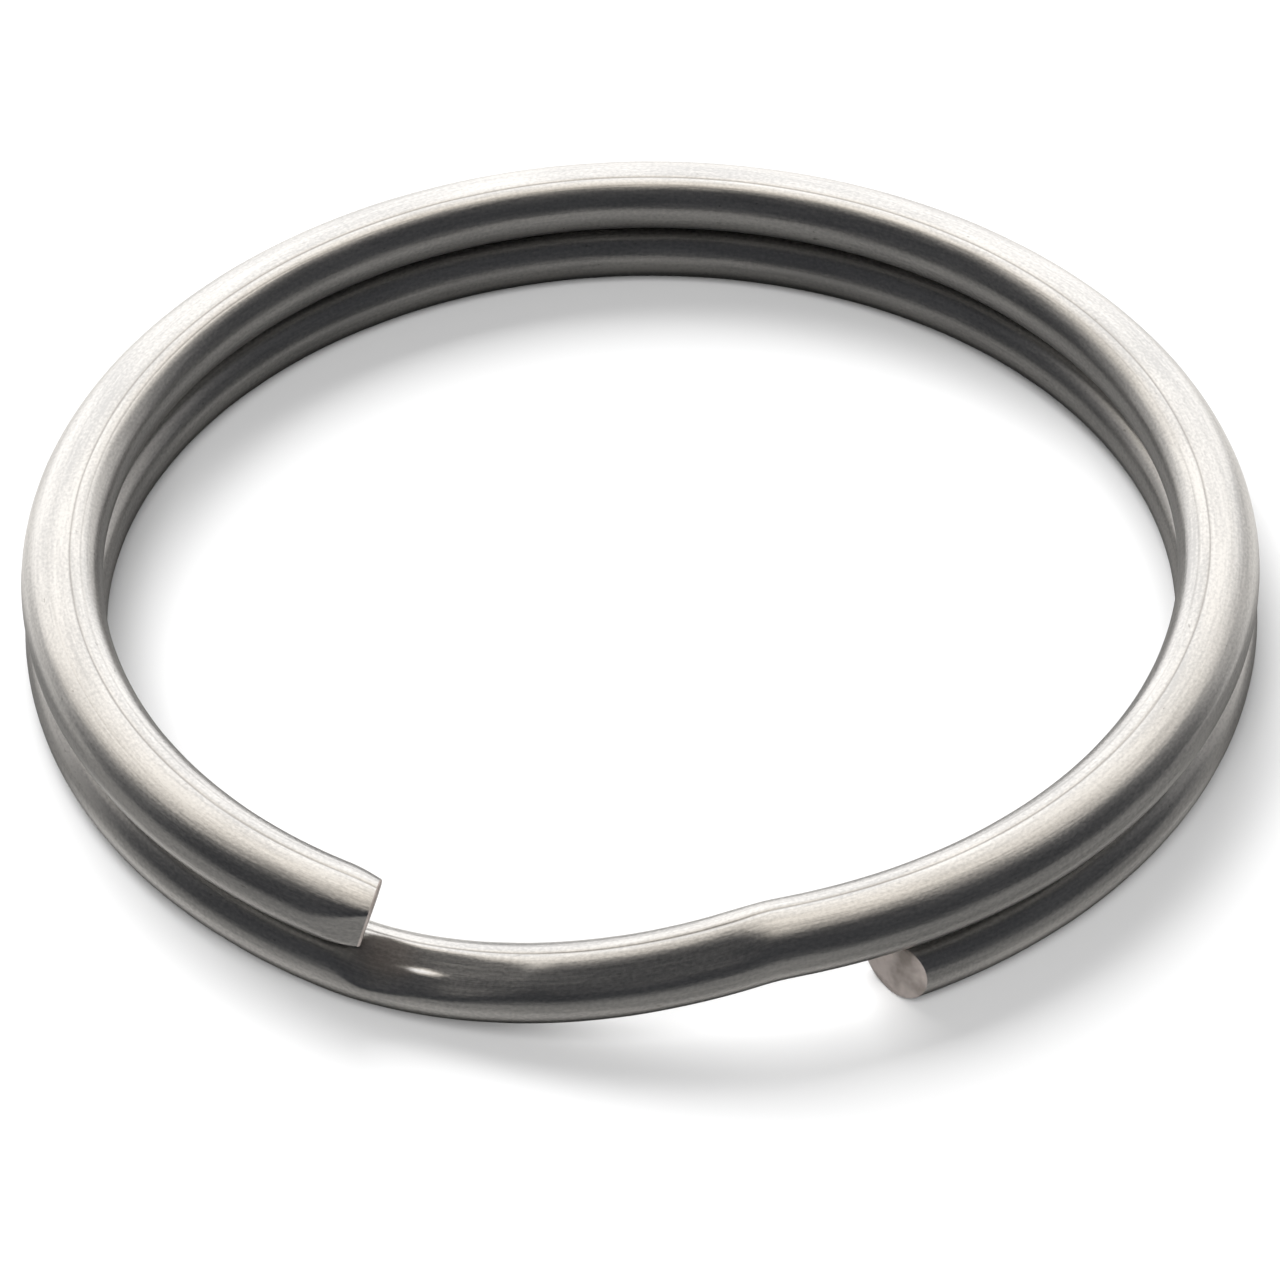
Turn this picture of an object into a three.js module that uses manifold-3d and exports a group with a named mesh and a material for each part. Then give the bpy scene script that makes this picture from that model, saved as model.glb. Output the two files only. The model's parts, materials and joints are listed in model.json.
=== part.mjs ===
// A split key ring: one length of flattened spring wire wound through almost two turns that lie
// on each other, with a crossover where the wire climbs from the lower turn to the upper one.
// Keys are threaded in at either free end, between the turns.
//
// Millimetres, +Z up. The ring's axis is the Z axis and the lower turn lies on the plane z = 0.
//
// The wire is divided along its length into short stretches, one mesh each. A free end lifts by
// twisting the wire on the far side of the ring, so opposite to each free end two stretches can
// turn a little against each other about the wire's own axis.

import * as THREE from 'three';
import { mergeVertices } from 'three/addons/utils/BufferGeometryUtils.js';
import Module from 'manifold-3d';

// Driving dimensions.

const RING_OUTER_DIAMETER = 30;
const WIRE_WIDTH = 2.0;
const WIRE_THICKNESS = 1.46;
const TURN_PITCH = 1.62;

// Turn angles are degrees counter-clockwise from +X, seen from above. They run on through the
// whole wire, from the upper free end down to the lower free end two turns later.

const UPPER_END = 242.7;
const LOWER_END = -427;

// The crossover starts to climb at its foot and ends in a sharp kink at the upper level. Just
// past the kink the upper turn stands a little proud, and it settles back to the pitch.

const CROSSOVER_KINK = -79;
const CROSSOVER_FOOT = -120;
const CROSSOVER_CURVE = 1.5;
const PROUD_HEIGHT = 0.1;
const PROUD_END = -25;

// The wire twists half a turn away from each free end.

const HALF_TURN = 180;

// Both ends are sheared off askew. Each slope is how far the cut runs along the wire for each
// millimetre outwards, and for each millimetre upwards.

const UPPER_CUT = { outwards: 0.25, upwards: 0.28 };
const LOWER_CUT = { outwards: -0.29, upwards: -0.15 };
const CUT_ALLOWANCE = 4;
const CUTTER_SIZE = 8;

const STRETCH_GAP = 0.04;
const STEPS_PER_STRETCH = 6;
const SIDE_SEGMENTS = 6;

// Values worked out from the driving dimensions.

const WIRE_RADIUS = (RING_OUTER_DIAMETER - WIRE_WIDTH) / 2;
const FLAT_WIDTH = WIRE_WIDTH - WIRE_THICKNESS;
const GAP_ANGLE = THREE.MathUtils.radToDeg(STRETCH_GAP / WIRE_RADIUS);
const UPPER_TWIST = UPPER_END - HALF_TURN;
const LOWER_TWIST = LOWER_END + HALF_TURN;

const UP = new THREE.Vector3(0, 0, 1);

const wasm = await Module();
wasm.setup();

// Height of the wire's centre line.

function climb(angle) {
  const share = (angle - CROSSOVER_FOOT) / (CROSSOVER_KINK - CROSSOVER_FOOT);
  const top = TURN_PITCH + PROUD_HEIGHT;
  return top * Math.pow(THREE.MathUtils.clamp(share, 0, 1), CROSSOVER_CURVE);
}

function upperLevel(angle) {
  const settled = THREE.MathUtils.smoothstep(angle, CROSSOVER_KINK, PROUD_END);
  return TURN_PITCH + PROUD_HEIGHT * (1 - settled);
}

function centreHeight(angle) {
  const lift = angle < CROSSOVER_KINK ? climb(angle) : upperLevel(angle);
  return WIRE_THICKNESS / 2 + lift;
}

function outwards(angle) {
  const radians = THREE.MathUtils.degToRad(angle);
  return new THREE.Vector3(Math.cos(radians), Math.sin(radians), 0);
}

function wireCentre(angle) {
  return outwards(angle).multiplyScalar(WIRE_RADIUS).setZ(centreHeight(angle));
}

// The wire's centre line between two turn angles, from the higher one to the lower one. Its
// frames keep the section's width level and pointing away from the ring's axis.

class WireLine extends THREE.Curve {
  constructor(from, to) {
    super();
    this.from = from;
    this.to = to;
  }

  angleAt(share) {
    return THREE.MathUtils.lerp(this.from, this.to, share);
  }

  getPoint(share) {
    return wireCentre(this.angleAt(share));
  }

  getSpacedPoints(divisions) {
    return this.getPoints(divisions);
  }

  computeFrenetFrames(segments) {
    const frames = { tangents: [], normals: [], binormals: [] };
    for (let step = 0; step <= segments; step += 1) {
      const angle = this.angleAt(step / segments);
      const normal = outwards(angle);
      const tangent = new THREE.Vector3().crossVectors(normal, UP);
      frames.tangents.push(tangent);
      frames.normals.push(normal);
      frames.binormals.push(UP.clone());
    }
    return frames;
  }
}

// The wire's section is a round wire rolled flat above and below, with its sides left round.
// x points away from the ring's axis and y points up.

function wireSection() {
  const flat = FLAT_WIDTH / 2;
  const half = WIRE_THICKNESS / 2;
  const quarter = Math.PI / 2;
  const section = new THREE.Shape();
  section.moveTo(-flat, -half);
  section.lineTo(flat, -half);
  section.absarc(flat, 0, half, -quarter, quarter, false);
  section.lineTo(-flat, half);
  section.absarc(-flat, 0, half, quarter, 3 * quarter, false);
  return section;
}

function stretchGeometry(from, to) {
  return new THREE.ExtrudeGeometry(wireSection(), {
    steps: STEPS_PER_STRETCH,
    curveSegments: SIDE_SEGMENTS / 2,
    extrudePath: new WireLine(from, to),
  });
}

// Boolean cuts.

function solidOf(geometry) {
  const bare = geometry.clone();
  bare.deleteAttribute('normal');
  bare.deleteAttribute('uv');
  const merged = mergeVertices(bare);
  const mesh = new wasm.Mesh({
    numProp: 3,
    vertProperties: merged.attributes.position.array,
    triVerts: new Uint32Array(merged.index.array),
  });
  return new wasm.Manifold(mesh);
}

function geometryOf(solid) {
  const mesh = solid.getMesh();
  const geometry = new THREE.BufferGeometry();
  geometry.setAttribute('position', new THREE.BufferAttribute(mesh.vertProperties, 3));
  geometry.setIndex(new THREE.BufferAttribute(mesh.triVerts, 1));
  geometry.computeVertexNormals();
  return geometry;
}

// A block whose lower face is the plane of a sheared end, and which takes away all beyond it.

function endCutter(angle, cut, direction) {
  const away = outwards(angle);
  const facing = new THREE.Vector3()
    .crossVectors(UP, away)
    .multiplyScalar(direction)
    .addScaledVector(away, -cut.outwards)
    .addScaledVector(UP, -cut.upwards)
    .normalize();
  const block = new THREE.BoxGeometry(CUTTER_SIZE, CUTTER_SIZE, CUTTER_SIZE);
  block.translate(0, 0, CUTTER_SIZE / 2);
  block.applyQuaternion(new THREE.Quaternion().setFromUnitVectors(UP, facing));
  const centre = wireCentre(angle);
  block.translate(centre.x, centre.y, centre.z);
  return block;
}

function shearedEnd(from, to, angle, cut, direction) {
  const blank = solidOf(stretchGeometry(from, to));
  const cutter = solidOf(endCutter(angle, cut, direction));
  return geometryOf(blank.subtract(cutter));
}

// Pieces of the ring.

const ring = new THREE.Group();

function addPiece(parent, name, geometry) {
  const steel = new THREE.MeshStandardMaterial({
    color: 0xb9b6b0,
    roughness: 0.32,
    metalness: 1,
  });
  const mesh = new THREE.Mesh(geometry, steel);
  mesh.name = name;
  parent.add(mesh);
}

// Divides a length of wire evenly, with one name for each stretch, from the higher turn angle to
// the lower one.

function addWire(from, to, names) {
  const length = (from - to) / names.length;
  const group = new THREE.Group();
  names.forEach((name, index) => {
    const start = from - index * length - GAP_ANGLE / 2;
    const end = from - (index + 1) * length + GAP_ANGLE / 2;
    addPiece(group, name, makeStretch(start, end));
  });
  ring.add(group);
}

function makeStretch(start, end) {
  if (start > UPPER_END - GAP_ANGLE) {
    return shearedEnd(start + CUT_ALLOWANCE, end, UPPER_END, UPPER_CUT, 1);
  }
  if (end < LOWER_END + GAP_ANGLE) {
    return shearedEnd(start, end - CUT_ALLOWANCE, LOWER_END, LOWER_CUT, -1);
  }
  return stretchGeometry(start, end);
}

addWire(UPPER_END, UPPER_TWIST, [
  'upper_free_end',
  'upper_turn_left',
  'upper_turn_left_back',
  'upper_turn_back_left',
  'upper_turn_back',
  'upper_turn_back_right',
]);
addWire(UPPER_TWIST, CROSSOVER_KINK, [
  'upper_turn_right_back',
  'upper_turn_right',
  'upper_turn_right_front',
  'upper_turn_front_right',
]);
addWire(CROSSOVER_KINK, CROSSOVER_FOOT, ['crossover_ramp', 'crossover_foot']);
addWire(CROSSOVER_FOOT, LOWER_TWIST, [
  'lower_turn_front_left',
  'lower_turn_left',
  'lower_turn_left_back',
  'lower_turn_back_left',
]);
addWire(LOWER_TWIST, LOWER_END, [
  'lower_turn_back',
  'lower_turn_back_right',
  'lower_turn_right_back',
  'lower_turn_right',
  'lower_turn_right_front',
  'lower_free_end',
]);

export default ring;
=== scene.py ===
"""A split key ring: one length of flattened spring wire, wound in almost two turns.

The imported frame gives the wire's size, where it twists and where it crosses over. This script draws the
same wire finely: the crowned flats and the creases that rolling left on it, both sheared ends, the facets
pressed into it, and the dent below the upper end, where a key goes in.
"""
import json
import math

import bpy
import numpy as np
from mathutils import Matrix, Vector


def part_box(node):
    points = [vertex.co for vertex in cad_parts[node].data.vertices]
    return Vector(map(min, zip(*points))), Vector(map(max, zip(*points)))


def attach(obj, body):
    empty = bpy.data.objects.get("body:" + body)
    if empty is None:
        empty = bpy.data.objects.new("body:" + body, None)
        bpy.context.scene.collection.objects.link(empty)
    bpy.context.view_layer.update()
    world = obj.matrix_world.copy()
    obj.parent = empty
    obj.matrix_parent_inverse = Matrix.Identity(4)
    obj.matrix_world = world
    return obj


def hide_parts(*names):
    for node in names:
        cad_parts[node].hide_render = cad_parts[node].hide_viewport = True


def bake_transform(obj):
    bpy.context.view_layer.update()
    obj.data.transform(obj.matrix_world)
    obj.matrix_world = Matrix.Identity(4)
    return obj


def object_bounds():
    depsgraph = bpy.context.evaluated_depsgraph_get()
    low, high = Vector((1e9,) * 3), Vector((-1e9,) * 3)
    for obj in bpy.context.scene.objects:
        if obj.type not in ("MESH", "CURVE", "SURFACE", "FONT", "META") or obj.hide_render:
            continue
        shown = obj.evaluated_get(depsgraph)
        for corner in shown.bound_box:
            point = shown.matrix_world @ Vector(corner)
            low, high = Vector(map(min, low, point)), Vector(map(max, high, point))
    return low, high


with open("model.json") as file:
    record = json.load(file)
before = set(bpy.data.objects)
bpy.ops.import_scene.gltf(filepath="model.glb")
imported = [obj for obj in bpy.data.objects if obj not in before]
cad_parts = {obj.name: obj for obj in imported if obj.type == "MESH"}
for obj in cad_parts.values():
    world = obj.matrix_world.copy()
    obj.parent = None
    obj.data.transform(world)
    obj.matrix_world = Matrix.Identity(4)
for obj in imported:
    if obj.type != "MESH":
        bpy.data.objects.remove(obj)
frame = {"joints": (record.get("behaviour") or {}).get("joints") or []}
cad_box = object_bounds()

MM = 0.001
FULL_TURN = 360

# --- Sizes that come from the frame -----------------------------------------------------------------

joints = {joint["name"]: joint for joint in frame["joints"]}
upper_hinge = Vector(joints["upper_end_opening"]["pos_m"])
lower_hinge = Vector(joints["lower_end_opening"]["pos_m"])

WIRE_RADIUS = math.hypot(upper_hinge.x, upper_hinge.y)
OUTER_RADIUS = cad_box[1].x
WIDTH = 2 * (OUTER_RADIUS - WIRE_RADIUS)
THICKNESS = 2 * lower_hinge.z
PITCH = upper_hinge.z - lower_hinge.z
SIDE = THICKNESS / 2


def turn_angle(point):
    """Degrees counter-clockwise from +X, seen from above."""
    return math.degrees(math.atan2(point.y, point.x))


def front_angle(across):
    """Turn angle at which the ring's outer edge is this far along +X, on the front of the ring."""
    return -math.degrees(math.acos(across / OUTER_RADIUS))


# Turn angles run on through the whole wire, from the upper free end down to the lower free end. Each
# hinge is half a turn away from its free end.
UPPER_TWIST = turn_angle(upper_hinge)
LOWER_TWIST = turn_angle(lower_hinge) - FULL_TURN
UPPER_END = UPPER_TWIST + FULL_TURN / 2
LOWER_END = LOWER_TWIST - FULL_TURN / 2
KINK = front_angle(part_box("crossover_ramp")[1].x)
FOOT = front_angle(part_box("crossover_foot")[0].x)
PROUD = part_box("upper_turn_front_right")[1].z - upper_hinge.z - SIDE

# --- Shape of the wire ------------------------------------------------------------------------------

# The climb is a power of the way along the crossover, with a soft corner at its crest. From there the
# wire stands proud of the upper level, and settles down to it by a turn angle.
CLIMB_CURVE = 1.5
CREST_BLEND = 0.1 * MM
PROUD_END = -25

# At the back the turns lie closer together: how far the upper one comes down, and the turn angles over
# which it does so and rises again.
CLOSED = 0.08 * MM
CLOSED_FROM = (-15, 50)
CLOSED_TO = (200, 130)

# The section is a little crowned above and below: the steepest tilt of its flats, in degrees.
CROWN_TILT = 12

# Above the foot the section is rolled outwards a little, so that the ring's top is slightly conical, and
# the ramp of the crossover is rolled out more, up to its kink. Degrees, and the turn angles between
# which each roll comes and goes.
ROLL = 8
ROLL_FROM = (-135, -95)
RAMP_ROLL = 4
RAMP_ROLL_FROM = (-116, -100)
RAMP_ROLL_TO = (KINK + 0.5, KINK - 3.5)

# Slope of each sheared end: how far the cut runs on along the wire, for each millimetre outwards and
# for each millimetre upwards. The upper end is also set back a little, and gets thinner by a share over
# its last few degrees. The lower end is cut steeply through its outer half, and the inner half broke
# off nearly square.
UPPER_CUT = (0.25, 0.28)
UPPER_SETBACK = 0.1 * MM
TIP_TAPER = 0.11
TIP_TAPER_FROM = UPPER_END - 4
LOWER_CUT = (-0.48, -0.15)
BREAK_SLOPE = -0.15
BREAK_BLEND = 0.1 * MM

# The last degrees of wire lean over to meet the cut, and the cut face stands this far past its edge.
CUT_BLEND = 8
CUT_EDGE = 0.07 * MM

# Thin creases that the rollers left in the top: how far outwards of its middle, depth and width, the
# turn angles between which the crease shows, and how dark its painted shade is. Each fades over some degrees.
CREASES = (
    {"outwards": -0.33 * MM, "depth": 0.010 * MM, "width": 0.028 * MM, "shows": (-400, 400), "painted_shade": 0.6},
    {"outwards": -0.6 * MM, "depth": 0.005 * MM, "width": 0.024 * MM, "shows": (120, 400), "painted_shade": 0.25},
    {"outwards": 0.2 * MM, "depth": 0.004 * MM, "width": 0.022 * MM, "shows": (130, 225), "painted_shade": 0.1},
)
CREASE_FADE = 25

# Slight unevenness of drawn wire. Each wave repeats so many times round the ring and round the section.
WAVINESS = 0.0025 * MM
WAVES = (
    {"round_ring": 23, "round_section": 2, "phase": 0.0, "share": 1.0},
    {"round_ring": 41, "round_section": -3, "phase": 1.3, "share": 1.0},
    {"round_ring": 67, "round_section": 1, "phase": 0.4, "share": 0.6},
)

# Facets pressed into the wire. Each has the turn angles where it starts, is at its deepest and ends,
# the tilt of the facet from level towards the outside, and its depth. The first runs off the upper end.
TIP_FACET = {"starts": UPPER_END - 5.5, "deep_from": UPPER_END, "deep_to": UPPER_END + 9,
             "ends": UPPER_END + 10, "tilt": 80, "depth": 0.27 * MM}
RAMP_FACET = {"starts": KINK - 27, "deep_from": KINK - 20, "deep_to": KINK - 3, "ends": KINK - 0.5,
              "tilt": 29, "depth": 0.075 * MM}

# A facet's border is soft, and its flat comes in over this first share of its depth.
SOFT_EDGE = 0.03 * MM
PRESSED_BY = 0.1

# The dent below the upper end, where a key goes in: the turn angles of its point, its deepest place and
# its far end below the upper end, its tilt and depth, and the power by which it deepens. A short low lip
# stands in its lower part: the turn angle of its middle, its reach to each side in degrees, how far it
# lies from the middle of the top, its height as a share of the dent's depth, and its slope's width.
DENT_POINT = -101
DENT_DEEPEST = -116.5
DENT_FAR_END = -120.5
DENT_TILT = 26
DENT_DEPTH = 0.27 * MM
DENT_WIDENING = 0.7
DENT_LIP = -111.8
DENT_LIP_REACH = 1.9
DENT_LIP_PLACE = 0.36 * MM
DENT_LIP_HEIGHT = 0.42
DENT_LIP_WIDTH = 0.1 * MM

# Fineness of the mesh: degrees along the wire and metres round it. Over a crease the steps are finer,
# to this many of its widths on each side. Steps below the least share of the usual one are left out.
STEP_ALONG = 0.75
STEP_ROUND = 0.07 * MM
CREASE_STEPS = 5
CREASE_REACH = 1.5
LEAST_STEP = 0.12

# The rings of points that close a cut end, from its rim inwards: each one's size as a share of the
# section, and how much of the way it has risen from the edge to the cut face.
CAP_RINGS = ((0.99, 0.45), (0.965, 0.8), (0.92, 1.0), (0.75, 1.0), (0.5, 1.0), (0.25, 1.0))

# A piece that twists reaches this many degrees to each side of its hinge.
BLEND_REACH = 50


def smooth(value, start, end):
    """0 before start and 1 past end, with a smooth rise between them."""
    share = min(max((value - start) / (end - start), 0.0), 1.0)
    return share * share * (3 - 2 * share)


def ramp(value, start, end):
    """0 before start and 1 past end, rising ever faster between them."""
    return min(max((value - start) / (end - start), 0.0), 1.0) ** 2


def soft_minimum(first, second, blend):
    """The smaller of two lengths, with a soft corner where they cross."""
    return (first + second - np.hypot(first - second, blend)) / 2


def centre_height(angle):
    """Height of the wire's centre line, which climbs from the foot of the crossover to its kink."""
    share = max((angle - FOOT) / (KINK - FOOT), 0.0)
    climbing = (PITCH + PROUD) * share ** CLIMB_CURVE
    proud = PROUD * (1 - smooth(angle, KINK, PROUD_END))
    closed = CLOSED * smooth(angle, *CLOSED_FROM) * smooth(angle, *CLOSED_TO)
    return SIDE + soft_minimum(climbing, PITCH + proud - closed, CREST_BLEND)


# The section is four arcs that meet smoothly: the slightly crowned flats above and below, and the round
# sides. It is followed from the middle of its underside, round the outside, over the top and round the
# inside. Distances round it are in metres, and the way that it faces is an angle from straight up.
CROWN = math.radians(CROWN_TILT)
SIDE_SHARE = (1 - math.sin(CROWN)) / math.cos(CROWN)
FLAT_RADIUS = (WIDTH / 2 - SIDE_SHARE * SIDE) / (math.sin(CROWN) - SIDE_SHARE * (1 - math.cos(CROWN)))
SIDE_RADIUS = (SIDE - FLAT_RADIUS * (1 - math.cos(CROWN))) / math.cos(CROWN)
HALF_FLAT = FLAT_RADIUS * CROWN
ROUND = SIDE_RADIUS * (math.pi - 2 * CROWN)
ARC_LENGTHS = (0.0, HALF_FLAT, ROUND, 2 * HALF_FLAT, ROUND, HALF_FLAT)
FACINGS = (math.pi, math.pi - CROWN, CROWN, -CROWN, CROWN - math.pi, -math.pi)
PERIMETER = sum(ARC_LENGTHS)
TOP_MIDDLE = PERIMETER / 2


def section_points(distances):
    """(outwards, upwards, facing) at distances round the section."""
    facing = np.interp(distances, np.cumsum(ARC_LENGTHS), FACINGS)
    on_side = np.abs(np.abs(facing) - math.pi / 2) < math.pi / 2 - CROWN
    radius = np.where(on_side, SIDE_RADIUS, FLAT_RADIUS)
    centre_out = np.where(on_side, np.sign(facing) * (WIDTH / 2 - SIDE_RADIUS), 0.0)
    centre_up = np.where(on_side, 0.0, np.sign(np.cos(facing)) * (SIDE - FLAT_RADIUS))
    return centre_out + radius * np.sin(facing), centre_up + radius * np.cos(facing), facing


def section_distances():
    """Even steps round the section, with finer ones over the creases."""
    found = list(np.arange(0, PERIMETER, STEP_ROUND))
    for crease in CREASES:
        middle = TOP_MIDDLE - crease["outwards"]
        reach = CREASE_REACH * crease["width"]
        found += list(np.linspace(middle - reach, middle + reach, CREASE_STEPS))
    found = np.array(sorted(found))
    apart = np.diff(found, append=PERIMETER)
    return found[apart > LEAST_STEP * STEP_ROUND]


DISTANCES = section_distances()
SECTION = section_points(DISTANCES)


def creases(angle):
    """How deep the creases are at each point of the section."""
    total = np.zeros_like(DISTANCES)
    for crease in CREASES:
        first, last = crease["shows"]
        shown = smooth(angle, first, first + CREASE_FADE) * smooth(angle, last, last - CREASE_FADE)
        apart = DISTANCES - (TOP_MIDDLE - crease["outwards"])
        total += shown * crease["depth"] * np.exp(-((apart / crease["width"]) ** 2))
    return total


def waves(angle):
    """Slight unevenness of drawn wire, a few micrometres."""
    along = math.radians(angle)
    across = DISTANCES / PERIMETER * 2 * math.pi
    total = np.zeros_like(DISTANCES)
    for wave in WAVES:
        phase = wave["round_ring"] * along + wave["round_section"] * across + wave["phase"]
        total += wave["share"] * np.sin(phase)
    return WAVINESS * total / sum(wave["share"] for wave in WAVES)


def pressed_flat(outwards, upwards, tilt, depth, shown):
    """The section with a facet pressed flat where shown is 1, and none where it is 0."""
    tilt = math.radians(tilt)
    faced = outwards * math.sin(tilt) + upwards * math.cos(tilt)
    over = faced - np.max(faced) + depth
    over = shown * (over + np.hypot(over, SOFT_EDGE)) / 2
    return outwards - over * math.sin(tilt), upwards - over * math.cos(tilt)


def faceted(outwards, upwards, facet, angle):
    """The section with one of the facets."""
    share = ramp(angle, facet["starts"], facet["deep_from"]) * ramp(angle, facet["ends"], facet["deep_to"])
    if share == 0:
        return outwards, upwards
    shown = smooth(share, 0, PRESSED_BY)
    return pressed_flat(outwards, upwards, facet["tilt"], facet["depth"] * share, shown)


def dented(outwards, upwards, angle):
    """The section with the dent, which widens from its point, and the lip in it."""
    share = min(max((DENT_POINT - angle) / (DENT_POINT - DENT_DEEPEST), 0.0), 1.0)
    share = share ** DENT_WIDENING * smooth(angle, DENT_FAR_END, DENT_DEEPEST)
    if share == 0:
        return outwards, upwards
    away = (angle - DENT_LIP) / DENT_LIP_REACH
    lip = DENT_LIP_HEIGHT * math.exp(-away ** 2)
    below = np.clip((TOP_MIDDLE - DISTANCES - DENT_LIP_PLACE) / DENT_LIP_WIDTH, 0, 1)
    shown = (1 - lip * below ** 2 * (3 - 2 * below)) * smooth(share, 0, PRESSED_BY)
    return pressed_flat(outwards, upwards, DENT_TILT, DENT_DEPTH * share, shown)


def section(angle):
    """(outwards, upwards) of each point of the section at a turn angle, from the wire's centre."""
    flat_out, flat_up, facing = SECTION
    inwards = creases(angle) - waves(angle)
    outwards = flat_out - inwards * np.sin(facing)
    upwards = flat_up - inwards * np.cos(facing)
    on_ramp = smooth(angle, *RAMP_ROLL_FROM) * smooth(angle, *RAMP_ROLL_TO)
    turned = math.radians(ROLL * smooth(angle, *ROLL_FROM) + RAMP_ROLL * on_ramp)
    across, up = math.cos(turned), math.sin(turned)
    outwards, upwards = outwards * across + upwards * up, upwards * across - outwards * up
    for facet in (TIP_FACET, RAMP_FACET):
        outwards, upwards = faceted(outwards, upwards, facet, angle)
    outwards, upwards = dented(outwards, upwards, angle)
    taper = 1 - TIP_TAPER * ramp(angle, TIP_TAPER_FROM, UPPER_END)
    return outwards * taper, upwards * taper


def upper_advance(outwards, upwards):
    """How far the upper end's cut runs on past its middle, along the wire."""
    return UPPER_CUT[0] * outwards + UPPER_CUT[1] * upwards - UPPER_SETBACK


def lower_advance(outwards, upwards):
    """The same for the lower end, where the cut meets the break along a soft edge."""
    sheared = LOWER_CUT[0] * outwards + LOWER_CUT[1] * upwards
    broken = BREAK_SLOPE * outwards
    return soft_minimum(sheared, broken, BREAK_BLEND)


def place(angles, outwards, upwards, heights):
    """Points in the frame from turn angles, with how far outwards and upwards of the centre line."""
    radians = np.radians(angles)
    out = WIRE_RADIUS + outwards
    return np.stack([out * np.cos(radians), out * np.sin(radians), heights + upwards], axis=-1)


def ring_points(angle):
    """One ring of points round the wire. Near a free end the rings lean over to meet the cut."""
    outwards, upwards = section(angle)
    to_upper = smooth(angle, UPPER_END - CUT_BLEND, UPPER_END)
    to_lower = smooth(-angle, -LOWER_END - CUT_BLEND, -LOWER_END)
    lean = to_upper * upper_advance(outwards, upwards) - to_lower * lower_advance(outwards, upwards)
    angles = angle + np.degrees(lean / WIRE_RADIUS)
    return place(angles, outwards, upwards, centre_height(angle))


def cap_points(end, advance, direction):
    """Rings that close a sheared end: a softened edge, and then the cut face, with its middle."""
    outwards, upwards = section(end)
    height = centre_height(end)
    rings = []
    for share, rise in CAP_RINGS:
        across, up = outwards * share, upwards * share
        run = direction * (advance(across, up) + CUT_EDGE * rise)
        rings.append(place(end + np.degrees(run / WIRE_RADIUS), across, up, height))
    nowhere = np.zeros(1)
    run = direction * (advance(nowhere, nowhere) + CUT_EDGE)
    centre = place(end + np.degrees(run / WIRE_RADIUS), nowhere, nowhere, height)
    return rings, centre[0]


# --- Making the mesh --------------------------------------------------------------------------------

# The map runs in millimetres along and round the wire. The cut face's material doesn't use it, so the
# triangles in its middle all get the same small corner of it.
UV_NAME = "along_the_wire"
CAP_CORNERS = [(0.0, 0.0), (0.0, 0.1), (0.1, 0.0)]
STEEL_SLOT, CUT_SLOT = 0, 1


def wire_piece(name, start, end):
    """A stretch of wire between two turn angles, the higher first, with its cut face at a free end."""
    count = max(2, math.ceil((start - end) / STEP_ALONG))
    angles = np.linspace(start, end, count + 1)
    rings = [ring_points(angle) for angle in angles]
    lengths = [math.radians(angle) * WIRE_RADIUS for angle in angles]
    cut_rings = 0
    centre = None
    if start > UPPER_END - STEP_ALONG / 2:
        caps, centre = cap_points(start, upper_advance, 1)
        rings = caps[::-1] + rings
        lengths = [lengths[0]] * len(caps) + lengths
        cut_rings = len(caps)
    if end < LOWER_END + STEP_ALONG / 2:
        caps, centre = cap_points(end, lower_advance, -1)
        rings = rings + caps
        lengths = lengths + [lengths[-1]] * len(caps)
        cut_rings = -len(caps)
    return mesh_of(name, rings, lengths, cut_rings, centre)


def wall_faces(rows, around):
    """Four-cornered faces between the rings of points, row by row."""
    for row in range(rows):
        here = row * around
        for step in range(around):
            after = (step + 1) % around
            yield here + step, here + around + step, here + around + after, here + after


def wall_corners(lengths, around):
    """Where the corners of those faces lie in the map."""
    rounds = np.append(DISTANCES, PERIMETER)
    for row in range(len(lengths) - 1):
        for step in range(around):
            for at_row, at_step in ((row, step), (row + 1, step), (row + 1, step + 1), (row, step + 1)):
                yield lengths[at_row] / MM, rounds[at_step] / MM


def cap_faces(middle, rim, around, is_first):
    """Triangles from the middle point of a cut face to its rim, facing away from the wire."""
    for step in range(around):
        after = (step + 1) % around
        yield (middle, rim + step, rim + after) if is_first else (middle, rim + after, rim + step)


def mesh_of(name, rings, lengths, cut_rings, centre):
    """A smooth mesh through the rings. cut_rings says how many of them are a cut face, counted from the
    first ring, or from the last one where it is negative."""
    around = len(DISTANCES)
    rows = len(rings) - 1
    points = np.concatenate(rings)
    faces = list(wall_faces(rows, around))
    corners = list(wall_corners(lengths, around))
    materials = []
    for row in range(rows):
        is_cut = row < cut_rings or row >= rows + min(cut_rings, 0)
        materials += [CUT_SLOT if is_cut else STEEL_SLOT] * around
    if centre is not None:
        is_first = cut_rings > 0
        faces += cap_faces(len(points), 0 if is_first else rows * around, around, is_first)
        corners += CAP_CORNERS * around
        materials += [CUT_SLOT] * around
        points = np.vstack([points, centre])
    mesh = bpy.data.meshes.new(name)
    mesh.from_pydata(points.tolist(), [], faces)
    layer = mesh.uv_layers.new(name=UV_NAME)
    layer.data.foreach_set("uv", np.array(corners, np.float32).ravel())
    mesh.polygons.foreach_set("use_smooth", np.ones(len(faces), bool))
    mesh.polygons.foreach_set("material_index", np.array(materials, np.int32))
    mesh.update()
    piece = bpy.data.objects.new(name, mesh)
    bpy.context.scene.collection.objects.link(piece)
    return piece


# --- Materials --------------------------------------------------------------------------------------

# A Mix node's sockets for colours, by number, because its sockets for other kinds share their names.
MIX_SHARE, MIX_FIRST, MIX_SECOND = 0, 6, 7
MIX_RESULT = 2


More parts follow.
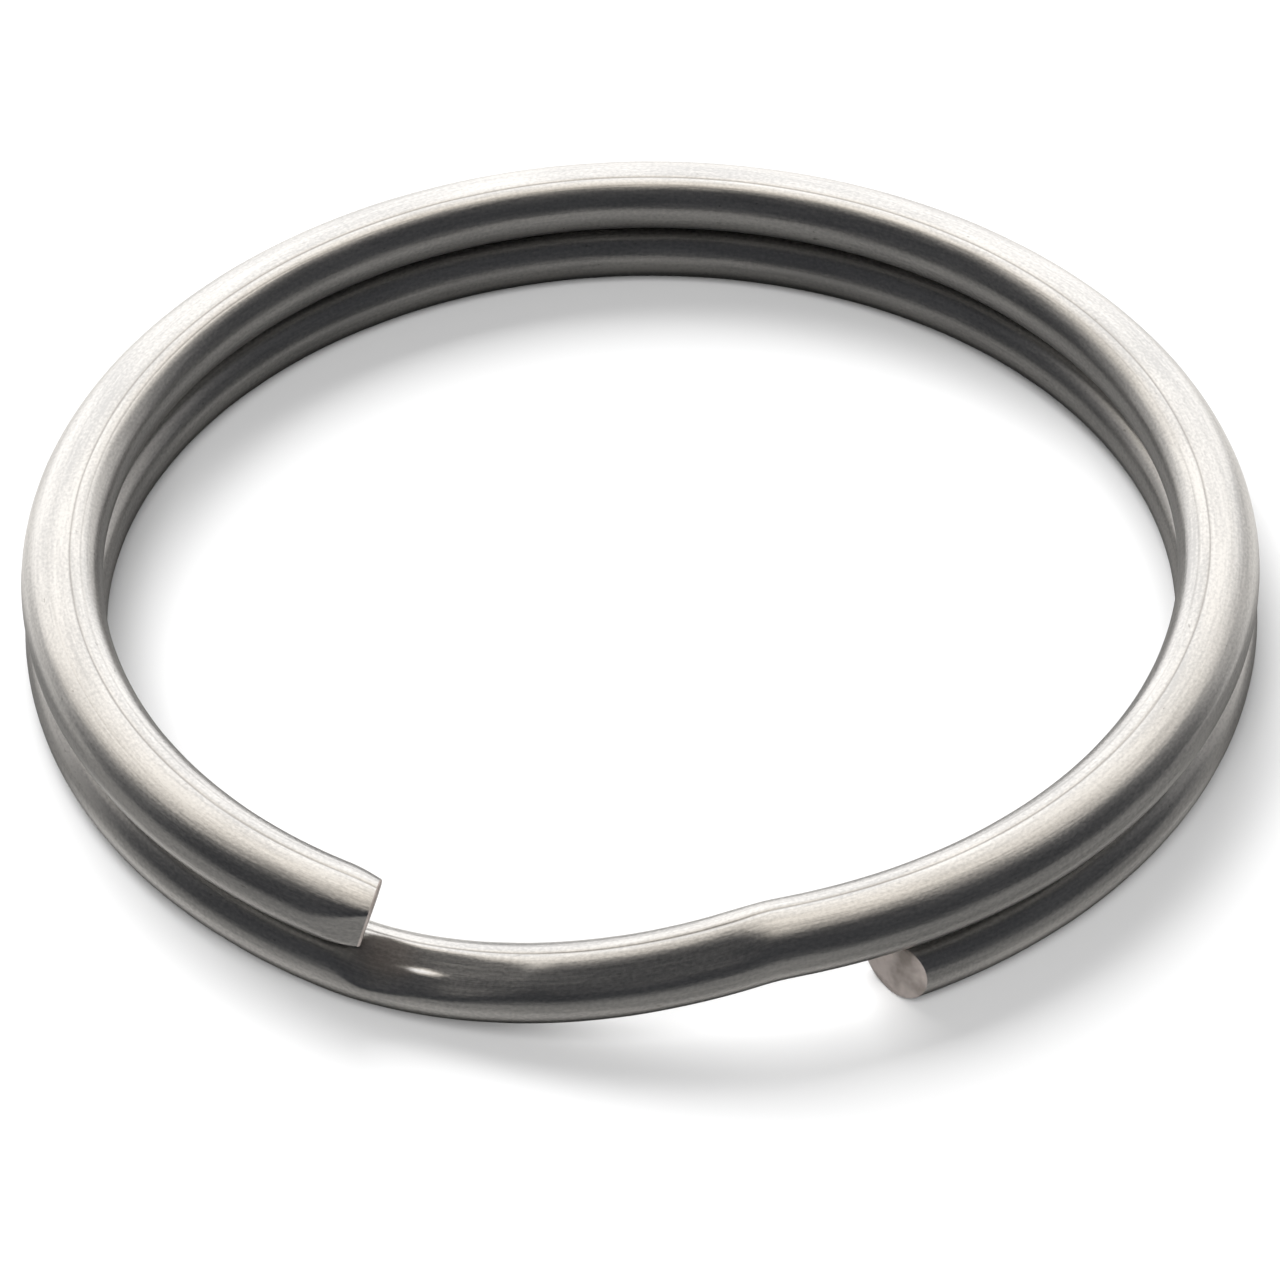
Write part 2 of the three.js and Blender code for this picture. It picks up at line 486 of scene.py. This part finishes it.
class Nodes:
    """Short calls that add nodes to a material or a world and link them."""

    def __init__(self, owner):
        owner.use_nodes = True
        self.owner = owner
        self.tree = owner.node_tree
        self.tree.nodes.clear()

    def add(self, kind, settings=None, **inputs):
        """A new node. Its inputs are given by name, with _ for a space."""
        node = self.tree.nodes.new("ShaderNode" + kind)
        for key, value in (settings or {}).items():
            setattr(node, key, value)
        for key, value in inputs.items():
            self.feed(node.inputs[key.replace("_", " ")], value)
        return node

    def feed(self, socket, value):
        """Link an output to an input socket, or set the socket to a number or colour."""
        if isinstance(value, bpy.types.NodeSocket):
            self.tree.links.new(value, socket)
        else:
            socket.default_value = value

    def math(self, operation, first, second=0.0):
        node = self.add("Math", {"operation": operation})
        self.feed(node.inputs[0], first)
        self.feed(node.inputs[1], second)
        return node.outputs[0]

    def noise(self, source, scale, detail):
        return self.add("TexNoise", Vector=source, Scale=scale, Detail=detail).outputs[0]

    def stretched_noise(self, source, along, round_about, detail):
        """Noise drawn out lengthwise: so many features for each millimetre along and round the wire."""
        mapping = self.add("Mapping", Vector=source, Scale=(along, round_about, 1.0))
        return self.noise(mapping.outputs[0], 1.0, detail)

    def range(self, value, low, high, new_low, new_high):
        """The value, with low to high carried over to new_low to new_high."""
        node = self.add("MapRange", Value=value)
        for key, number in (("From Min", low), ("From Max", high), ("To Min", new_low), ("To Max", new_high)):
            node.inputs[key].default_value = number
        return node.outputs[0]

    def rise(self, value, start, end):
        """0 at start and 1 at end, with a smooth rise between them."""
        node = self.add("MapRange", {"interpolation_type": "SMOOTHSTEP"}, Value=value)
        node.inputs["From Min"].default_value = start
        node.inputs["From Max"].default_value = end
        return node.outputs[0]

    def blend_colours(self, share, first, second):
        """The first colour where share is 0, and the second where it is 1."""
        node = self.add("Mix", {"data_type": "RGBA"})
        for number, value in ((MIX_SHARE, share), (MIX_FIRST, first), (MIX_SECOND, second)):
            self.feed(node.inputs[number], value)
        return node.outputs[MIX_RESULT]

    def finish(self, kind, shader):
        """Link the shader to its output and give the material or the world back."""
        output = self.add("Output" + kind)
        self.tree.links.new(shader.outputs[0], output.inputs[0])
        return self.owner


def new_material(name):
    return Nodes(bpy.data.materials.new(name))


# The drawn steel's noises: features for each millimetre along and round the wire, and detail.
BROAD_NOISE = (0.22, 2.4, 3.0)
LINE_NOISE = (0.45, 14.0, 4.0)
GRAIN_NOISE = (9.0, 14.0, 3.0)
PIT_NOISE = (3.0, 6.0, 2.0)

# Its colour goes from dark to light as the weighted noises go through a range. Pits stain it grey, and
# the creases get painted shade in grey, which reaches this many millimetres to each side of a crease.
BROAD_WEIGHT = 0.4
LINE_WEIGHT = 0.2
GRAIN_WEIGHT = 0.4
STEEL_TONES = (0.41, 0.59)
STEEL_DARK = (0.41, 0.405, 0.40, 1.0)
STEEL_LIGHT = (0.59, 0.58, 0.565, 1.0)
CREASE_PAINTED_SHADE = (0.2, 0.19, 0.18, 1.0)
CREASE_SHADE_REACH = 0.045
PIT_EDGES = (0.7, 0.78)
PIT_STAIN = 0.6

# Its roughness follows the sum of two noises, and its bump is made of the lines and some of the grain.
ROUGHNESS_TONES = (0.7, 1.3)
STEEL_ROUGHNESS = (0.28, 0.38)
GRAIN_HEIGHT = 0.7
BUMP_STRENGTH = 0.5
STEEL_BUMP = 0.006 * MM


def crease_lines(nodes, source, ragged):
    """1 in the middle of a crease and 0 away from it, with ragged borders, times the crease's share of
    painted shade.
    """
    round_about = nodes.add("SeparateXYZ", Vector=source).outputs[1]
    wandering = nodes.math("ADD", round_about, nodes.math("MULTIPLY", ragged, CREASE_SHADE_REACH))
    lines = 0.0
    for crease in CREASES:
        middle = (TOP_MIDDLE - crease["outwards"]) / MM + CREASE_SHADE_REACH / 2
        apart = nodes.math("ABSOLUTE", nodes.math("SUBTRACT", wandering, middle))
        line = nodes.math("MULTIPLY", nodes.rise(apart, CREASE_SHADE_REACH, 0.0), crease["painted_shade"])
        lines = nodes.math("MAXIMUM", lines, line)
    return lines


def drawn_steel():
    """Bare drawn spring wire: satin, with fine lengthwise lines, grain, small pits and painted shade in the
    creases.
    """
    nodes = new_material("drawn_steel")
    source = nodes.add("UVMap", {"uv_map": UV_NAME}).outputs[0]
    broad = nodes.stretched_noise(source, *BROAD_NOISE)
    lines = nodes.stretched_noise(source, *LINE_NOISE)
    grain = nodes.stretched_noise(source, *GRAIN_NOISE)
    pits = nodes.rise(nodes.stretched_noise(source, *PIT_NOISE), *PIT_EDGES)
    broad_tone = nodes.math("MULTIPLY", broad, BROAD_WEIGHT)
    tone = nodes.math("ADD", broad_tone, nodes.math("MULTIPLY", lines, LINE_WEIGHT))
    tone = nodes.math("ADD", tone, nodes.math("MULTIPLY", grain, GRAIN_WEIGHT))
    colour = nodes.blend_colours(nodes.range(tone, *STEEL_TONES, 0.0, 1.0), STEEL_DARK, STEEL_LIGHT)
    pit_stain = nodes.math("MULTIPLY", pits, PIT_STAIN)
    # The pits' stains and the painted shade of the creases turn the colour towards grey.
    stain_and_shade = nodes.math("MAXIMUM", pit_stain, crease_lines(nodes, source, lines))
    colour = nodes.blend_colours(stain_and_shade, colour, CREASE_PAINTED_SHADE)
    roughness = nodes.range(nodes.math("ADD", broad, grain), *ROUGHNESS_TONES, *STEEL_ROUGHNESS)
    height = nodes.math("ADD", lines, nodes.math("MULTIPLY", grain, GRAIN_HEIGHT))
    bump = nodes.add("Bump", Height=height, Strength=BUMP_STRENGTH, Distance=STEEL_BUMP)
    shader = nodes.add("BsdfPrincipled", Base_Color=colour, Roughness=roughness, Normal=bump.outputs[0])
    shader.inputs["Metallic"].default_value = 1.0
    return nodes.finish("Material", shader)


# The cut faces: two noises, in features for each metre, for the colour and for the torn surface.
CUT_DARK = (0.245, 0.214, 0.192, 1.0)
CUT_LIGHT = (0.52, 0.46, 0.43, 1.0)
CUT_TONES = (0.38, 0.62)
CUT_PATCHES = 1400.0
CUT_TEARING = 9000.0
CUT_DETAIL = 3.0
CUT_BUMP = 0.012 * MM
CUT_METALLIC = 0.3
CUT_ROUGHNESS = 0.55


def cut_steel():
    """The sheared ends: dull and brownish, with the fine tearing of the cut."""
    nodes = new_material("cut_steel")
    source = nodes.add("TexCoord").outputs["Object"]
    patches = nodes.noise(source, CUT_PATCHES, CUT_DETAIL)
    tearing = nodes.noise(source, CUT_TEARING, CUT_DETAIL)
    colour = nodes.blend_colours(nodes.range(patches, *CUT_TONES, 0.0, 1.0), CUT_DARK, CUT_LIGHT)
    bump = nodes.add("Bump", Height=tearing, Strength=BUMP_STRENGTH, Distance=CUT_BUMP)
    shader = nodes.add("BsdfPrincipled", Base_Color=colour, Normal=bump.outputs[0])
    shader.inputs["Metallic"].default_value = CUT_METALLIC
    shader.inputs["Roughness"].default_value = CUT_ROUGHNESS
    return nodes.finish("Material", shader)


steel = drawn_steel()
cut = cut_steel()

# --- The ring's pieces ------------------------------------------------------------------------------

# The CAD nodes that each rigid piece stands for. The two twisting pieces lie along parts of them.
UPPER_TURN = [
    "upper_free_end", "upper_turn_left", "upper_turn_left_back", "upper_turn_back_left",
    "upper_turn_back", "upper_turn_back_right",
]
MIDDLE = [
    "upper_turn_right_back", "upper_turn_right", "upper_turn_right_front", "upper_turn_front_right",
    "crossover_ramp", "crossover_foot", "lower_turn_front_left", "lower_turn_left",
    "lower_turn_left_back", "lower_turn_back_left",
]
LOWER_TURN = [
    "lower_turn_back", "lower_turn_back_right", "lower_turn_right_back", "lower_turn_right",
    "lower_turn_right_front", "lower_free_end",
]


def finished(piece):
    """The piece with its two materials, in the order of STEEL_SLOT and CUT_SLOT."""
    piece.data.materials.append(steel)
    piece.data.materials.append(cut)
    return piece


def rigid(name, start, end, body, nodes):
    """A stretch of wire that moves with one body."""
    piece = finished(wire_piece(name, start, end))
    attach(piece, body)
    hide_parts(*nodes)


def twisting(name, twist):
    """The stretch of wire round a hinge where the ring twists as a free end lifts. It isn't attached to a
    body."""
    piece = finished(wire_piece(name, twist + BLEND_REACH, twist - BLEND_REACH))
    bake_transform(piece)


rigid("upper_turn_and_end", UPPER_END, UPPER_TWIST + BLEND_REACH, "upper_left_arc", UPPER_TURN)
twisting("upper_turn_twist", UPPER_TWIST)
rigid("crossover_and_turns", UPPER_TWIST - BLEND_REACH, LOWER_TWIST + BLEND_REACH, "middle_arc", MIDDLE)
twisting("lower_turn_twist", LOWER_TWIST)
rigid("lower_turn_and_end", LOWER_TWIST - BLEND_REACH, LOWER_END, "lower_right_arc", LOWER_TURN)

# --- Floor ------------------------------------------------------------------------------------------

FLOOR_SIZE = 0.32
PAPER = (0.9, 0.9, 0.9, 1.0)
PAPER_GRAIN = (0.885, 0.885, 0.885, 1.0)
PAPER_MOTTLE = 40.0
PAPER_DETAIL = 2.0

# The floor as the steel mirrors it, with light and shade painted into its colours: a painted shadow right
# under the wire, painted light inside the front of the ring and outside the ring from its sides backwards,
# and painted shade elsewhere.
PAPER_SHADOW_UNDER = (0.03, 0.03, 0.03, 1.0)
PAPER_LIT = (0.85, 0.83, 0.8, 1.0)
PAPER_SHADED = (0.24, 0.236, 0.229, 1.0)
SHADOW_UNDER_BORDER = 0.8 * MM
LIT_INSIDE = (-4 * MM, -8 * MM)
LIT_OUTSIDE = (-1 * MM, 5 * MM)


def floor_as_mirrored(nodes, source):
    """The colours that the steel mirrors at each place of the floor, with painted light, shade and shadow."""
    distance = nodes.add("VectorMath", {"operation": "LENGTH"}, Vector=source).outputs["Value"]
    outside = nodes.rise(distance, OUTER_RADIUS, OUTER_RADIUS + WIDTH)
    behind = nodes.rise(nodes.add("SeparateXYZ", Vector=source).outputs[1], *LIT_OUTSIDE)
    in_front = nodes.rise(nodes.add("SeparateXYZ", Vector=source).outputs[1], *LIT_INSIDE)
    lit_inside = nodes.math("MULTIPLY", nodes.math("SUBTRACT", 1.0, outside), in_front)
    lit = nodes.math("MAXIMUM", nodes.math("MULTIPLY", outside, behind), lit_inside)
    inner_edge = WIRE_RADIUS - SIDE
    outer_edge = WIRE_RADIUS + SIDE
    from_inside = nodes.rise(distance, inner_edge - SHADOW_UNDER_BORDER, inner_edge)
    from_outside = nodes.rise(distance, outer_edge + SHADOW_UNDER_BORDER, outer_edge)
    # A painted shadow right under the wire, dark over the wire's width and fading beyond its edges.
    shadow_under = nodes.math("MULTIPLY", from_inside, from_outside)
    return nodes.blend_colours(shadow_under, nodes.blend_colours(lit, PAPER_SHADED, PAPER_LIT), PAPER_SHADOW_UNDER)


def pale_paper():
    """A pale, faintly mottled floor, which the steel mirrors in other colours, with painted light and shade.
    """
    nodes = new_material("pale_paper")
    source = nodes.add("TexCoord").outputs["Object"]
    mottle = nodes.noise(source, PAPER_MOTTLE, PAPER_DETAIL)
    seen = nodes.blend_colours(mottle, PAPER_GRAIN, PAPER)
    mirrored = floor_as_mirrored(nodes, source)
    is_mirrored = nodes.add("LightPath").outputs["Is Glossy Ray"]
    shader = nodes.add("BsdfDiffuse", Color=nodes.blend_colours(is_mirrored, seen, mirrored))
    return nodes.finish("Material", shader)


def make_floor():
    half = FLOOR_SIZE / 2
    corners = [(-half, -half, 0), (half, -half, 0), (half, half, 0), (-half, half, 0)]
    mesh = bpy.data.meshes.new("floor")
    mesh.from_pydata(corners, [], [(0, 1, 2, 3)])
    mesh.materials.append(pale_paper())
    floor = bpy.data.objects.new("floor", mesh)
    bpy.context.scene.collection.objects.link(floor)


# --- Light ------------------------------------------------------------------------------------------


def direction(azimuth, elevation):
    """Azimuth is counted from straight in front of the ring, towards its right."""
    azimuth, elevation = math.radians(azimuth), math.radians(elevation)
    level = math.cos(elevation)
    return Vector((math.sin(azimuth) * level, -math.cos(azimuth) * level, math.sin(elevation)))


def softbox(name, azimuth, elevation, distance, size, strength):
    """A square soft light that lights the floor and isn't mirrored in the steel."""
    light = bpy.data.lights.new(name, "AREA")
    light.shape = "SQUARE"
    light.size = size
    light.energy = strength * math.pi ** 2 * distance ** 2
    lamp = bpy.data.objects.new(name, light)
    towards = direction(azimuth, elevation)
    lamp.location = towards * distance
    lamp.rotation_euler = towards.to_track_quat("Z", "Y").to_euler()
    lamp.visible_camera = False
    lamp.visible_glossy = False
    bpy.context.scene.collection.objects.link(lamp)


# What the steel mirrors. Numbers that aren't colours are parts of a unit direction, sideways (X) or
# backwards (Y). A bright wall behind the ring reaches up to an edge overhead, which is further back at
# its sides, and between its left and right sides. It is warmer high up. Elsewhere is a dark room, which
# gets paler sideways and backwards.
WALL_LOW = (2.0, 1.98, 1.96, 1.0)
WALL_HIGH = (1.7, 1.58, 1.41, 1.0)
WALL_LOWERS = (0.45, 0.8)
WALL_EDGE_MIDDLE = 0.15
WALL_EDGE_SIDES = 0.41
WALL_EDGE_RISE = (0.05, 0.3)
WALL_EDGE_SOFTNESS = 0.11
WALL_LEFT = -0.66
WALL_RIGHT = 0.5
WALL_SIDE_SOFTNESS = 0.09
DARK_ROOM = (0.066, 0.068, 0.074, 1.0)
PALE_SIDES = (1.4, 1.36, 1.31, 1.0)
PALE_SIDEWAYS = (0.2, 0.8)
PALE_BACKWARDS = (0.12, 0.88)

# What lights the floor besides the soft lights, and what the camera sees behind the floor.
FLOOR_FILL = (0.15, 0.15, 0.15, 1.0)
BACKDROP = (1.0, 1.0, 1.0, 1.0)


def wall_share(nodes, sideways, aside, backwards):
    """1 where a direction meets the bright wall, with soft edges."""
    edge = nodes.range(nodes.rise(aside, *WALL_EDGE_RISE), 0.0, 1.0, WALL_EDGE_MIDDLE, WALL_EDGE_SIDES)
    past_edge = nodes.math("SUBTRACT", backwards, edge)
    under_edge = nodes.rise(past_edge, -WALL_EDGE_SOFTNESS, WALL_EDGE_SOFTNESS)
    from_left = nodes.rise(sideways, WALL_LEFT - WALL_SIDE_SOFTNESS, WALL_LEFT + WALL_SIDE_SOFTNESS)
    from_right = nodes.rise(sideways, WALL_RIGHT + WALL_SIDE_SOFTNESS, WALL_RIGHT - WALL_SIDE_SOFTNESS)
    return nodes.math("MULTIPLY", under_edge, nodes.math("MULTIPLY", from_left, from_right))


def make_world():
    nodes = Nodes(bpy.data.worlds.new("studio"))
    looking = nodes.add("TexCoord").outputs["Generated"]
    parts = nodes.add("SeparateXYZ", Vector=looking).outputs
    aside = nodes.math("ABSOLUTE", parts[0])
    on_wall = wall_share(nodes, parts[0], aside, parts[1])
    pale = nodes.math("MULTIPLY", nodes.rise(aside, *PALE_SIDEWAYS), nodes.rise(parts[1], *PALE_BACKWARDS))
    room = nodes.blend_colours(pale, DARK_ROOM, PALE_SIDES)
    wall = nodes.blend_colours(nodes.rise(parts[1], *WALL_LOWERS), WALL_HIGH, WALL_LOW)
    mirrored = nodes.blend_colours(on_wall, room, wall)
    path = nodes.add("LightPath").outputs
    on_floor = nodes.blend_colours(path["Is Diffuse Ray"], mirrored, FLOOR_FILL)
    seen = nodes.blend_colours(path["Is Camera Ray"], on_floor, BACKDROP)
    world = nodes.finish("World", nodes.add("Background", Color=seen))
    world.cycles.sampling_method = "NONE"
    bpy.context.scene.world = world


# --- Camera -----------------------------------------------------------------------------------------

# The photograph's view: what it looks at, from which direction and how far away, through a lens this
# many times as long as its sensor is wide, and the small turns, in degrees, that place the ring in it.
VIEW_TARGET = Vector((0, 0, 1.4 * MM))
VIEW_AZIMUTH = -0.42
VIEW_ELEVATION = 41.34
VIEW_DISTANCE = 189.9 * MM
LENS_TIMES = 6.1
SENSOR_WIDTH = 36
NEAREST, FARTHEST = 0.01, 10
CAMERA_YAW = 0.012
CAMERA_PITCH = -0.429
CAMERA_ROLL = 1.127


def both_turned(first, second, degrees, axis):
    """Two directions turned about an axis."""
    turn = Matrix.Rotation(math.radians(degrees), 3, axis)
    return turn @ first, turn @ second


def make_camera():
    """The photograph's view: a long lens, 41 degrees above the floor."""
    back = direction(VIEW_AZIMUTH, VIEW_ELEVATION)
    data = bpy.data.cameras.new("camera")
    data.sensor_width = SENSOR_WIDTH
    data.lens = LENS_TIMES * data.sensor_width
    data.clip_start, data.clip_end = NEAREST, FARTHEST
    camera = bpy.data.objects.new("camera", data)
    forward = -back
    right = forward.cross(Vector((0, 0, 1))).normalized()
    up = right.cross(forward)
    forward, right = both_turned(forward, right, CAMERA_YAW, up)
    forward, up = both_turned(forward, up, CAMERA_PITCH, right)
    right, up = both_turned(right, up, CAMERA_ROLL, forward)
    axes = Matrix((right, up, -forward)).transposed().to_4x4()
    camera.matrix_world = Matrix.Translation(VIEW_TARGET + back * VIEW_DISTANCE) @ axes
    bpy.context.scene.collection.objects.link(camera)
    bpy.context.scene.camera = camera


make_floor()
make_world()
softbox("key", azimuth=202, elevation=45, distance=0.5, size=0.42, strength=1.4)
softbox("front_fill", azimuth=0, elevation=48, distance=0.5, size=0.4, strength=0.8)
make_camera()
bpy.context.scene.view_settings.view_transform = "Standard"

# --- Bringing the scene up to date ------------------------------------------------------------------

bpy.context.view_layer.update()
